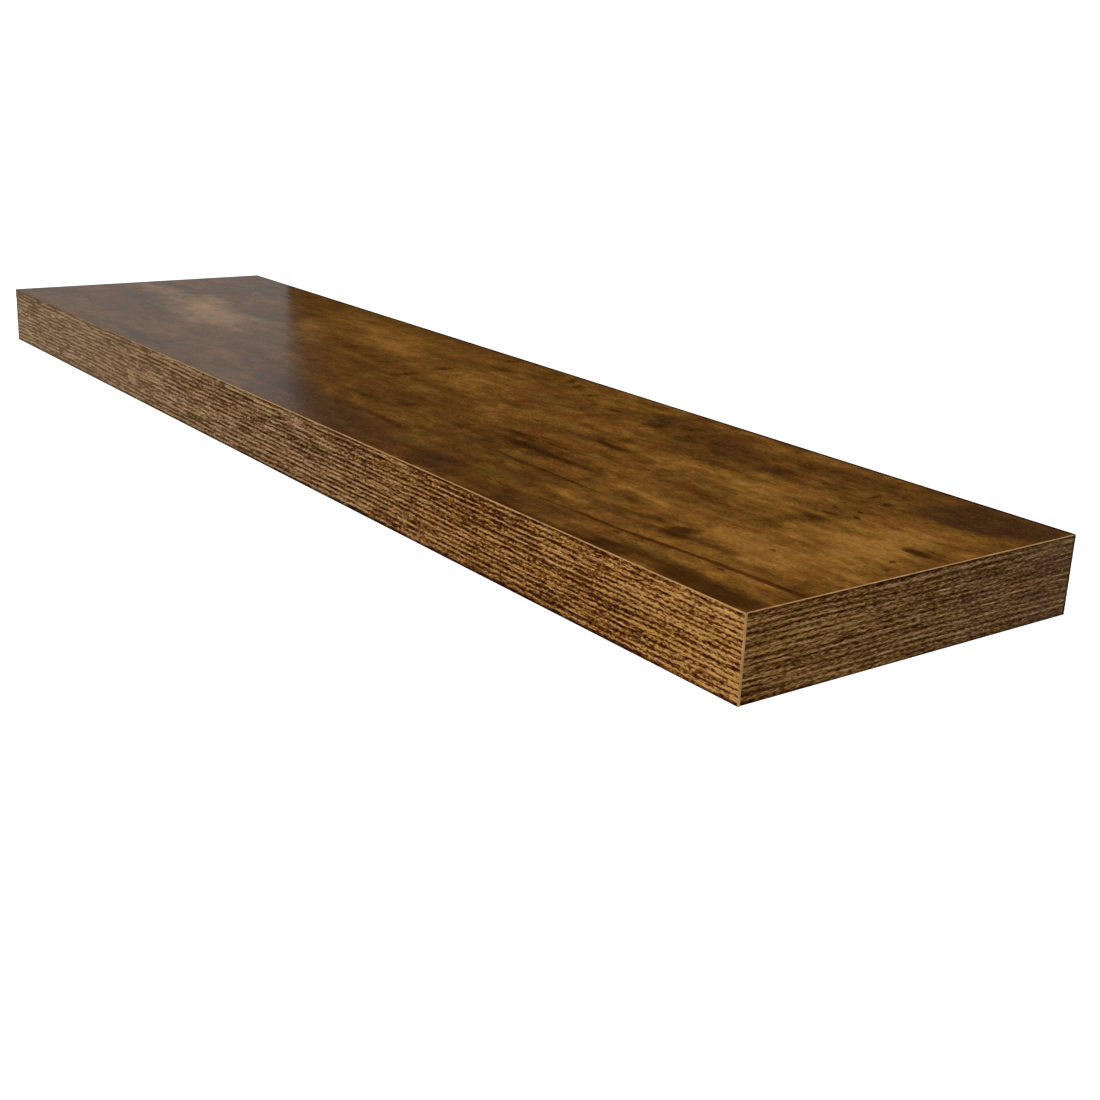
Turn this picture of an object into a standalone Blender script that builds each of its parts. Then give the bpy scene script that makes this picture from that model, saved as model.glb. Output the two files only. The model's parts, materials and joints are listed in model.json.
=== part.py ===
"""Floating wall shelf: a hollow-core board that slides onto two rods of a hidden wall bracket.

The board is a torsion box: two decor-faced skins over a frame of rails and rod blocks, with expanded
paper honeycomb in the bays between and a thin edge band on the front and both ends. Two grub screws
in insert nuts, reached from the underside, lock the board on its rods.

Metres, +Z up, X along the shelf. The wall is the plane y = 0 and the board stands out towards -Y.
z = 0 is the middle of the board's thickness, where the rods lie.
"""

import math

import bmesh
import bpy
from mathutils import Vector

# Board
shelf_length = 0.800
shelf_depth = 0.200
shelf_thickness = 0.038
wall_gap = 0.0005
skin_thickness = 0.004
edge_band_thickness = 0.001
edge_band_bevel = 0.0004
glue_gap = 0.0003

# Frame inside the board
end_rail_width = 0.030
front_rail_width = 0.030
rear_rail_width = 0.040
rod_block_width = 0.050

# Honeycomb core
nominal_cell_width = 0.022
paper_thickness = 0.0003
weld_distance = 0.000001

# Wall bracket
strip_thickness = 0.004
strip_edge_play = 0.0022
strip_side_play = 0.0187
strip_front_play = 0.0005
strip_corner_radius = 0.005
strip_edge_bevel = 0.0004
rod_spacing = 0.440
rod_diameter = 0.012
rod_nose_chamfer = 0.0015
wood_ahead_of_rod = 0.0247
spigot_diameter = 0.008
rivet_head_diameter = 0.010
rivet_head_depth = 0.001

# Holes in the bracket for the wall screws
wall_screw_hole_diameter = 0.0055
wall_screw_head_diameter = 0.011
outer_hole_inset = 0.030
inner_hole_from_rod = 0.110
slot_travel = 0.006

# Clearances of the sliding and locking parts
rod_play = 0.0004
bore_end_play = 0.002
running_gap = 0.0003

# Lock screws and their insert nuts
lock_screw_diameter = 0.006
lock_screw_chamfer = 0.0008
lock_screw_sink = 0.0007
hex_key_width = 0.003
hex_socket_depth = 0.0045
insert_diameter = 0.010
insert_barb_height = 0.0005
insert_flange_diameter = 0.0135
insert_flange_thickness = 0.001
insert_mouth_chamfer = 0.0005
insert_below_bore = 0.0006
barb_count = 4

# How finely round parts are divided, and how far a cutter runs past what it cuts
rod_steps = 32
fitting_steps = 24
corner_steps = 6
cut_overrun = 0.002
sharp_angle = math.radians(35)
edgewise_share = 0.5

# Places worked out from the sizes above
half_length = shelf_length / 2
half_thickness = shelf_thickness / 2
half_core = half_thickness - skin_thickness - glue_gap
panel_end = half_length - edge_band_thickness - glue_gap
panel_front = shelf_depth - edge_band_thickness - glue_gap
end_rail_inside = panel_end - end_rail_width
rail_end = end_rail_inside - glue_gap
rear_rail_back = strip_thickness + strip_front_play
rear_rail_front = rear_rail_back + rear_rail_width
front_rail_back = panel_front - front_rail_width
bay_back = rear_rail_front + glue_gap
bay_front = front_rail_back - glue_gap
rod_place = rod_spacing / 2
block_inside = rod_place - rod_block_width / 2
block_outside = rod_place + rod_block_width / 2
rod_radius = rod_diameter / 2
rod_tip = front_rail_back - wood_ahead_of_rod
bore_radius = rod_radius + rod_play
bore_end = rod_tip + bore_end_play
strip_half_length = end_rail_inside - strip_side_play
strip_half_height = half_core - strip_edge_play
lock_screw_place = (rear_rail_back + rear_rail_front) / 2

# Colours in linear light
decor_brown = (0.127, 0.053, 0.014)
edging_brown = (0.156, 0.080, 0.032)
chipboard = (0.480, 0.310, 0.150)
kraft_paper = (0.434, 0.238, 0.098)
zinc_plate = (0.620, 0.630, 0.650)
black_oxide = (0.030, 0.030, 0.034)
brass = (0.690, 0.500, 0.220)

# Parts of the bracket are modelled lying on the wall plane and turned so that their height points out from it
out_from_wall = (math.radians(90), 0, 0)


def clear_scene():
    for old in list(bpy.data.objects):
        bpy.data.objects.remove(old, do_unlink=True)


def empty(name):
    """A bare frame at the origin, on the axis that its body slides along."""
    holder = bpy.data.objects.new(name, None)
    bpy.context.scene.collection.objects.link(holder)
    return holder


def object_from(name, bm, location=(0, 0, 0), rotation=(0, 0, 0)):
    """An object of the finished bmesh, with its normals out."""
    bmesh.ops.recalc_face_normals(bm, faces=bm.faces)
    mesh = bpy.data.meshes.new(name)
    bm.to_mesh(mesh)
    bm.free()
    made = bpy.data.objects.new(name, mesh)
    made.location = location
    made.rotation_euler = rotation
    bpy.context.scene.collection.objects.link(made)
    return made


def finish(made, body, colour, roughness, metallic=0.0):
    """Puts the piece in its body and gives it a finish of its own."""
    made.parent = body
    material = bpy.data.materials.new(made.name + "_finish")
    material.use_nodes = True
    shader = material.node_tree.nodes["Principled BSDF"]
    shader.inputs["Base Color"].default_value = (*colour, 1.0)
    shader.inputs["Roughness"].default_value = roughness
    shader.inputs["Metallic"].default_value = metallic
    made.data.materials.append(material)
    return made


def cut(made, *cutters):
    """Takes the cutters out of the piece. They stay in the scene as wire guides."""
    for cutter in cutters:
        cutter.hide_render = True
        cutter.display_type = "WIRE"
        boolean = made.modifiers.new("cut_" + cutter.name, "BOOLEAN")
        boolean.operation = "DIFFERENCE"
        boolean.solver = "EXACT"
        boolean.object = cutter


def board_between(name, low, high):
    """A square-edged board between two corners, with its origin at its middle."""
    low, high = Vector(low), Vector(high)
    bm = bmesh.new()
    bmesh.ops.create_cube(bm, size=1)
    bmesh.ops.scale(bm, vec=high - low, verts=bm.verts)
    return object_from(name, bm, location=(low + high) / 2)


def turned(name, profile, steps, location, rotation=(0, 0, 0), hollow=False):
    """A body turned about its Z axis from points of (radius, height), the lower end first.

    A hollow one's profile is closed: it runs up the outside and back down the bore.
    """
    bm = bmesh.new()
    turns = [math.tau * (step + 0.5) / steps for step in range(steps)]
    rings = [
        [bm.verts.new((radius * math.cos(turn), radius * math.sin(turn), height)) for turn in turns]
        for radius, height in profile
    ]
    around = rings + rings[:1] if hollow else rings
    for lower, upper in zip(around, around[1:]):
        for step in range(steps):
            following = (step + 1) % steps
            bm.faces.new((lower[step], lower[following], upper[following], upper[step]))
    if not hollow:
        bm.faces.new(rings[0])
        bm.faces.new(rings[-1])
    made = object_from(name, bm, location, rotation)
    made.data.shade_smooth()
    made.data.set_sharp_from_angle(angle=sharp_angle)
    return made


def skin(name, side, body):
    """The upper (side 1) or lower (side -1) decor-faced skin of the board."""
    inside = side * (half_thickness - skin_thickness)
    outside = side * half_thickness
    panel = board_between(
        name,
        (-panel_end, -panel_front, min(inside, outside)),
        (panel_end, -wall_gap, max(inside, outside)),
    )
    return finish(panel, body, decor_brown, 0.35)


def rail(name, x_range, from_wall, body):
    """A chipboard strip as high as the core, between two places along X and two distances from the wall."""
    strip = board_between(
        name,
        (x_range[0], -from_wall[1], -half_core),
        (x_range[1], -from_wall[0], half_core),
    )
    return finish(strip, body, chipboard, 0.85)


def frame_rails(body):
    """The frame under the skins: front, rear and end rails, and the blocks that the rods run into."""
    rails = {
        "front_rail": rail("front_rail", (-rail_end, rail_end), (front_rail_back, panel_front), body),
        "rear_rail": rail("rear_rail", (-rail_end, rail_end), (rear_rail_back, rear_rail_front), body),
    }
    for name, side in (("left", -1), ("right", 1)):
        ends = sorted((side * end_rail_inside, side * panel_end))
        blocks = sorted((side * block_inside, side * block_outside))
        rails[name + "_end_rail"] = rail(name + "_end_rail", ends, (wall_gap, panel_front), body)
        rails[name + "_rod_block"] = rail(name + "_rod_block", blocks, (bay_back, bay_front), body)
    return rails


def honeycomb(name, x_range, body):
    """Expanded paper honeycomb that fills a bay, its cells stretched to whole numbers along and across.

    Each cell is a ring between its outer outline, shared with its neighbours, and its bore. The sides
    that face along X are glued pairs of paper, twice as thick as the slanted ones.
    """
    length = x_range[1] - x_range[0]
    depth = bay_front - bay_back
    columns = max(2, round(length / nominal_cell_width))
    width = length / columns
    rows = max(1, round((2 * math.sqrt(3) * depth / nominal_cell_width - 1) / 3))
    shoulder = depth / (3 * rows + 1)
    peak = 2 * shoulder
    slant = math.hypot(width / 2, shoulder)
    bore_half_width = width / 2 - paper_thickness
    bore_shoulder = shoulder + (peak - slant) * paper_thickness / width
    bore_peak = peak - slant * paper_thickness / width

    bm = bmesh.new()
    for row in range(rows):
        across = -bay_back - peak - row * (peak + shoulder)
        shifted = row % 2
        for column in range(columns - shifted):
            along = x_range[0] + width * (column + (1 + shifted) / 2)
            outer = hexagon(bm, along, across, width / 2, shoulder, peak)
            bore = hexagon(bm, along, across, bore_half_width, bore_shoulder, bore_peak)
            for corner in range(6):
                following = (corner + 1) % 6
                bm.faces.new((outer[corner], outer[following], bore[following], bore[corner]))
    bmesh.ops.remove_doubles(bm, verts=bm.verts, dist=weld_distance)
    raised = bmesh.ops.extrude_face_region(bm, geom=bm.faces[:], use_keep_orig=True)
    upper = [part for part in raised["geom"] if isinstance(part, bmesh.types.BMVert)]
    bmesh.ops.translate(bm, verts=upper, vec=(0, 0, 2 * half_core))
    core = object_from(name, bm, location=(0, 0, -half_core))
    return finish(core, body, kraft_paper, 0.9)


def hexagon(bm, along, across, half_width, shoulder, peak):
    """The six corners of a cell, in order round it."""
    corners = (
        (half_width, -shoulder),
        (half_width, shoulder),
        (0, peak),
        (-half_width, shoulder),
        (-half_width, -shoulder),
        (0, -peak),
    )
    return [bm.verts.new((along + x, across + y, 0)) for x, y in corners]


def edge_band(name, length, middle, turn, body, trimmed_ends):
    """A strip of edging, upright, with its outer long edges bevelled, and its ends too where trimmed."""
    bm = bmesh.new()
    bmesh.ops.create_cube(bm, size=1)
    bmesh.ops.scale(bm, vec=(length, edge_band_thickness, shelf_thickness), verts=bm.verts)
    arrises = [edge for edge in bm.edges if all(corner.co.y < 0 for corner in edge.verts)]
    if not trimmed_ends:
        arrises = [edge for edge in arrises if edge.verts[0].co.z == edge.verts[1].co.z]
    bmesh.ops.bevel(bm, geom=arrises, offset=edge_band_bevel, segments=1, affect="EDGES")
    band = object_from(name, bm, location=middle, rotation=(0, 0, turn))
    return finish(band, body, edging_brown, 0.45)


def edge_bands(body):
    """The front band runs the whole length and covers the front edges of the two end bands."""
    half_band = edge_band_thickness / 2
    front_middle = (0, half_band - shelf_depth, 0)
    edge_band("front_edge_band", shelf_length, front_middle, 0, body, trimmed_ends=True)
    for name, side in (("left_edge_band", -1), ("right_edge_band", 1)):
        length = panel_front - wall_gap
        middle = (side * (half_length - half_band), -(panel_front + wall_gap) / 2, 0)
        edge_band(name, length, middle, side * math.radians(90), body, trimmed_ends=False)


def rod_bore(name, x):
    """Cuts the blind bore that takes a rod, from behind the rear rail into the rod block."""
    profile = ((bore_radius, rear_rail_back - cut_overrun), (bore_radius, bore_end))
    return turned(name, profile, rod_steps, (x, 0, 0), out_from_wall)


def insert_hole(name, x):
    """Cuts the counterbored hole for an insert nut, from the underside up into the rod bore."""
    flange_radius = insert_flange_diameter / 2 + glue_gap
    barrel_radius = insert_diameter / 2 + glue_gap
    flange_top = insert_flange_thickness + glue_gap
    profile = (
        (flange_radius, -cut_overrun),
        (flange_radius, flange_top),
        (barrel_radius, flange_top),
        (barrel_radius, half_thickness),
    )
    return turned(name, profile, fitting_steps, (x, -lock_screw_place, -half_thickness))


def insert_nut(name, x, body):
    """A press-in nut: a thin flange flush with the underside, and a barrel of rising barbs."""
    length = half_thickness - bore_radius - insert_below_bore
    barb_radius = insert_diameter / 2
    root_radius = barb_radius - insert_barb_height
    bore = lock_screw_diameter / 2 + running_gap
    barb_pitch = (length - insert_flange_thickness) / barb_count
    profile = [(insert_flange_diameter / 2, 0), (insert_flange_diameter / 2, insert_flange_thickness)]
    for barb in range(barb_count):
        foot = insert_flange_thickness + barb * barb_pitch
        profile += [(root_radius, foot), (barb_radius, foot + barb_pitch / 3)]
    profile += [
        (root_radius, length),
        (bore, length),
        (bore, insert_mouth_chamfer),
        (bore + insert_mouth_chamfer, 0),
    ]
    place = (x, -lock_screw_place, -half_thickness)
    nut = turned(name, profile, fitting_steps, place, hollow=True)
    return finish(nut, body, brass, 0.35, metallic=1.0)


def lock_screw(name, x, body):
    """A grub screw under its rod, with chamfered ends and a hexagon socket in the lower one."""
    radius = lock_screw_diameter / 2
    foot = lock_screw_sink - half_thickness
    length = -rod_radius - running_gap - foot
    chamfered = radius - lock_screw_chamfer
    profile = (
        (chamfered, 0),
        (radius, lock_screw_chamfer),
        (radius, length - lock_screw_chamfer),
        (chamfered, length),
    )
    place = (x, -lock_screw_place, foot)
    screw = turned(name, profile, fitting_steps, place)
    key_radius = hex_key_width / math.sqrt(3)
    socket_profile = ((key_radius, -cut_overrun), (key_radius, hex_socket_depth))
    socket = turned(name + "_socket", socket_profile, 6, place)
    socket.data.shade_flat()
    cut(screw, socket)
    return finish(screw, body, black_oxide, 0.4, metallic=1.0)


def support_rod(name, x, body):
    """A rod with a chamfered nose, and behind its shoulder a spigot riveted flush with the strip's back."""
    spigot_radius = spigot_diameter / 2
    head_radius = rivet_head_diameter / 2
    shoulder = strip_thickness + glue_gap
    profile = (
        (head_radius, 0),
        (spigot_radius, rivet_head_depth),
        (spigot_radius, shoulder),
        (rod_radius, shoulder),
        (rod_radius, rod_tip - rod_nose_chamfer),
        (rod_radius - rod_nose_chamfer, rod_tip),
    )
    rod = turned(name, profile, rod_steps, (x, 0, 0), out_from_wall)
    return finish(rod, body, zinc_plate, 0.35, metallic=1.0)


def rivet_hole(name, x):
    """Cuts the countersunk hole that a rod's spigot is riveted into."""
    hole = spigot_diameter / 2 + glue_gap
    widening = rivet_head_diameter / 2 - spigot_diameter / 2
    slope = widening / rivet_head_depth
    profile = (
        (hole + widening + slope * cut_overrun, -cut_overrun),
        (hole, rivet_head_depth),
        (hole, strip_thickness + cut_overrun),
    )
    return turned(name, profile, fitting_steps, (x, 0, 0), out_from_wall)


def wall_screw_hole(name, x, travel):
    """Cuts a countersunk hole for a wall screw. A travel above zero draws it out into a slot along X."""
    hole = wall_screw_hole_diameter / 2
    head = wall_screw_head_diameter / 2
    sink = head - hole
    profile = (
        (hole, -cut_overrun),
        (hole, strip_thickness - sink),
        (head + cut_overrun, strip_thickness + cut_overrun),
    )
    cutter = turned(name, profile, fitting_steps, (x, 0, 0), out_from_wall)
    for corner in cutter.data.vertices:
        corner.co.x += math.copysign(travel / 2, corner.co.x)
    return cutter


def wall_strip(body):
    """The bracket's flat strip, with rounded corners, softened edges and all its holes."""
    bm = bmesh.new()
    bmesh.ops.create_cube(bm, size=1)
    size = (2 * strip_half_length, 2 * strip_half_height, strip_thickness)
    bmesh.ops.scale(bm, vec=size, verts=bm.verts)
    corners = [edge for edge in bm.edges if edge.verts[0].co.z != edge.verts[1].co.z]
    bmesh.ops.bevel(
        bm, geom=corners, offset=strip_corner_radius, segments=corner_steps, profile=0.5, affect="EDGES"
    )
    rims = [edge for edge in bm.edges if edge.verts[0].co.z == edge.verts[1].co.z]
    bmesh.ops.bevel(bm, geom=rims, offset=strip_edge_bevel, segments=1, affect="EDGES")
    strip = object_from("wall_strip", bm, (0, -strip_thickness / 2, 0), out_from_wall)
    for face in strip.data.polygons:
        face.use_smooth = abs(face.normal.z) < edgewise_share
    for side_name, side in (("left", -1), ("right", 1)):
        outer = side * (strip_half_length - outer_hole_inset)
        inner = side * (rod_place - inner_hole_from_rod)
        cut(
            strip,
            rivet_hole(side_name + "_rivet_hole", side * rod_place),
            wall_screw_hole(side_name + "_outer_screw_hole", outer, slot_travel),
            wall_screw_hole(side_name + "_inner_screw_hole", inner, 0),
        )
    return finish(strip, body, zinc_plate, 0.4, metallic=1.0)


def build_shelf():
    clear_scene()
    bracket = empty("wall_bracket")
    board = empty("shelf_board")

    skin("top_panel", 1, board)
    bottom_panel = skin("bottom_panel", -1, board)
    rails = frame_rails(board)
    edge_bands(board)
    side_bay = (block_outside + glue_gap, end_rail_inside - glue_gap)
    middle_bay = block_inside - glue_gap
    honeycomb("left_honeycomb", (-side_bay[1], -side_bay[0]), board)
    honeycomb("centre_honeycomb", (-middle_bay, middle_bay), board)
    honeycomb("right_honeycomb", side_bay, board)

    wall_strip(bracket)
    for name, side in (("left", -1), ("right", 1)):
        x = side * rod_place
        support_rod(name + "_support_rod", x, bracket)
        bore = rod_bore(name + "_rod_bore", x)
        nut_hole = insert_hole(name + "_insert_hole", x)
        cut(rails["rear_rail"], bore, nut_hole)
        cut(rails[name + "_rod_block"], bore)
        cut(bottom_panel, nut_hole)
        insert_nut(name + "_insert_nut", x, board)
        lock_screw(name + "_lock_screw", x, board)


build_shelf()
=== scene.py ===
import json
import math

import bmesh
import bpy
import numpy as np
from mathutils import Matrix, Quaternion, Vector

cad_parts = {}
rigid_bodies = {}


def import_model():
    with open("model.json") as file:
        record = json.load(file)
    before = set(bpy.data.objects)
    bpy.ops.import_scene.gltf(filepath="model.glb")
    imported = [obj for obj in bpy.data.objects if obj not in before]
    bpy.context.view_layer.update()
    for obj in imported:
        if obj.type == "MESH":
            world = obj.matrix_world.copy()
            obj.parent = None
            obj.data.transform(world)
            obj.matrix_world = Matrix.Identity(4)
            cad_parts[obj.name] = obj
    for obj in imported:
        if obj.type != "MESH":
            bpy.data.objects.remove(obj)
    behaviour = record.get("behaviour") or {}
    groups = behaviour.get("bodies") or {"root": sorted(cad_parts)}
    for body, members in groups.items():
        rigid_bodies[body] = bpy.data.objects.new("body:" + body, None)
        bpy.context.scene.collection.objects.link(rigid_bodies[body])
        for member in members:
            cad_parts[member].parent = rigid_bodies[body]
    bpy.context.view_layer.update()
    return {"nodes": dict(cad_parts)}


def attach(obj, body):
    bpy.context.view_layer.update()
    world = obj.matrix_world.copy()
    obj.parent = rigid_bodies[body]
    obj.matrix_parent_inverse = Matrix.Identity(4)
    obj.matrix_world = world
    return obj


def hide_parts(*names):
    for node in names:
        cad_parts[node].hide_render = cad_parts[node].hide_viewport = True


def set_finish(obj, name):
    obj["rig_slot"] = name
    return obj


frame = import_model()
print("frame loaded:", len(frame["nodes"]), "nodes")

mm = 0.001
white = (1.0, 1.0, 1.0, 1.0)
creaseAngle = math.radians(32)  # sharper bends than this stay crisp on the metal


# Colours

# a colour as it is seen on a screen, 0 to 255, turned into what a shader wants
def paint(red, green, blue):
    shares = [channel / 255 for channel in (red, green, blue)]
    lit = [((share + 0.055) / 1.055) ** 2.4 if share > 0.04 else share / 12.92 for share in shares]
    return (*lit, 1.0)


# Small helpers for the materials

# adds a node; each input is a value, or the socket that feeds it
def addNode(tree, kind, inputs=None, **settings):
    node = tree.nodes.new("ShaderNode" + kind)
    for name, value in settings.items():
        setattr(node, name, value)
    for socketName, value in (inputs or {}).items():
        if isinstance(value, bpy.types.NodeSocket):
            tree.links.new(value, node.inputs[socketName])
        else:
            node.inputs[socketName].default_value = value
    return node


def objectPlace(tree):
    return addNode(tree, "TexCoord").outputs["Object"]


def calc(tree, operation, first, second=0.0, third=0.0):
    return addNode(tree, "Math", {0: first, 1: second, 2: third}, operation=operation).outputs[0]


# adds a value's swing about its middle, times gain, to base
def swing(tree, value, gain, base, middle=0.5):
    return calc(tree, "MULTIPLY_ADD", calc(tree, "SUBTRACT", value, middle), gain, base)


# 0 below low, 1 above high, and a soft step between them
def fade(tree, value, low, high):
    inputs = {"Value": value, "From Min": low, "From Max": high}
    return addNode(tree, "MapRange", inputs, interpolation_type="SMOOTHSTEP").outputs["Result"]


def mixColour(tree, share, first, second, blend="MIX"):
    node = addNode(tree, "Mix", {0: share, 6: first, 7: second}, data_type="RGBA", blend_type=blend)
    return node.outputs[2]


# lays a colour over the ground where a mask is, at most as strongly as strength says
def lay(tree, ground, mask, strength, colour, blend="MIX"):
    return mixColour(tree, calc(tree, "MULTIPLY", mask, strength), ground, colour, blend)


# lays a tint over the ground; a tint is its colour, the values where it starts and is full, and its strength
def tinted(tree, ground, value, tint, blend="MIX"):
    colour, start, full, strength = tint
    return lay(tree, ground, fade(tree, value, start, full), strength, colour, blend)


def colourRamp(tree, value, stops):
    node = addNode(tree, "ValToRGB", {0: value})
    while len(node.color_ramp.elements) < len(stops):
        node.color_ramp.elements.new(0.5)
    for element, (place, colour) in zip(node.color_ramp.elements, stops):
        element.position = place
        element.color = colour
    return node.outputs["Color"]


# a place counted in marks; size is how long, wide and high one mark is, in metres
def inMarks(tree, place, size, shift=(0.0, 0.0, 0.0)):
    inputs = {"Vector": place, "Scale": tuple(1 / length for length in size), "Location": shift}
    return addNode(tree, "Mapping", inputs).outputs[0]


# cloudy or streaky noise, its marks about as large as size says
def streaks(tree, place, size, detail, roughness, shift=(0.0, 0.0, 0.0), warp=0.0):
    inputs = {
        "Vector": inMarks(tree, place, size, shift), "Scale": 1.0,
        "Detail": detail, "Roughness": roughness, "Distortion": warp,
    }
    return addNode(tree, "TexNoise", inputs).outputs["Fac"]


# pushes a place about at random, so that what is drawn on it gets a ragged rim
def ragged(tree, place, size, push):
    inputs = {"Vector": inMarks(tree, place, size), "Scale": 1.0, "Detail": 3.0, "Roughness": 0.6}
    cloud = addNode(tree, "TexNoise", inputs).outputs["Color"]
    centred = addNode(tree, "VectorMath", {0: cloud, 1: (0.5, 0.5, 0.5)}, operation="SUBTRACT").outputs[0]
    pushed = addNode(tree, "VectorMath", {0: centred, 1: (*push, 0.0)}, operation="MULTIPLY").outputs[0]
    return addNode(tree, "VectorMath", {0: place, 1: pushed}, operation="ADD").outputs[0]


def bump(tree, height, depth):
    return addNode(tree, "Bump", {"Height": height, "Distance": depth}).outputs["Normal"]


# a new material with only its shader, and what the shader's sockets are set to
def newFinish(name, **sockets):
    material = bpy.data.materials.new(name)
    material.use_nodes = True
    tree = material.node_tree
    shader = tree.nodes["Principled BSDF"]
    for socketName, value in sockets.items():
        shader.inputs[socketName.replace("_", " ")].default_value = value
    return material, tree, shader


def feed(tree, shader, **sockets):
    for socketName, value in sockets.items():
        tree.links.new(value, shader.inputs[socketName.replace("_", " ")])


# a finish whose tones follow a mottle. The relief follows it too, or has marks of its own, which may
# take a share of the tones; roughness is what the mottle adds to it and what it starts from
def mottledFinish(name, look):
    material, tree, shader = newFinish(name, **look["sockets"])
    place = objectPlace(tree)
    mottle = streaks(tree, place, *look["mottle"])
    relief = streaks(tree, place, *look["relief"]) if "relief" in look else mottle
    tone = mottle
    if "reliefShare" in look:
        share = look["reliefShare"]
        tone = calc(tree, "MULTIPLY_ADD", relief, share, calc(tree, "MULTIPLY", mottle, 1 - share))
    colour = colourRamp(tree, tone, look["tones"])
    if "dulls" in look:
        colour = tinted(tree, colour, addNode(tree, "SeparateXYZ", {0: place}).outputs[0], look["dulls"])
    if "roughness" in look:
        feed(tree, shader, Roughness=calc(tree, "MULTIPLY_ADD", mottle, *look["roughness"]))
    feed(tree, shader, Base_Color=colour, Normal=bump(tree, relief, look["depth"]))
    return material


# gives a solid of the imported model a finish
def dress(nodeName, finish):
    materials = frame["nodes"][nodeName].data.materials
    materials.clear()
    materials.append(finish)


# Small helpers for the meshes

def newPiece(name, corners, faces, finishes, smooth=True):
    mesh = bpy.data.meshes.new(name)
    mesh.from_pydata(corners, [], faces)
    mesh.validate()
    shape = bmesh.new()
    shape.from_mesh(mesh)
    bmesh.ops.recalc_face_normals(shape, faces=shape.faces)
    shape.to_mesh(mesh)
    shape.free()
    piece = bpy.data.objects.new(name, mesh)
    bpy.context.scene.collection.objects.link(piece)
    for finish in finishes:
        mesh.materials.append(finish)
    if smooth:
        mesh.shade_smooth()
    return piece


# fits the piece in the model: what it moves with, what it stands for and whose finish it has
def fit(piece, body, slotName, *nodes):
    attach(piece, body)
    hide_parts(*nodes)
    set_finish(piece, slotName)


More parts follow.
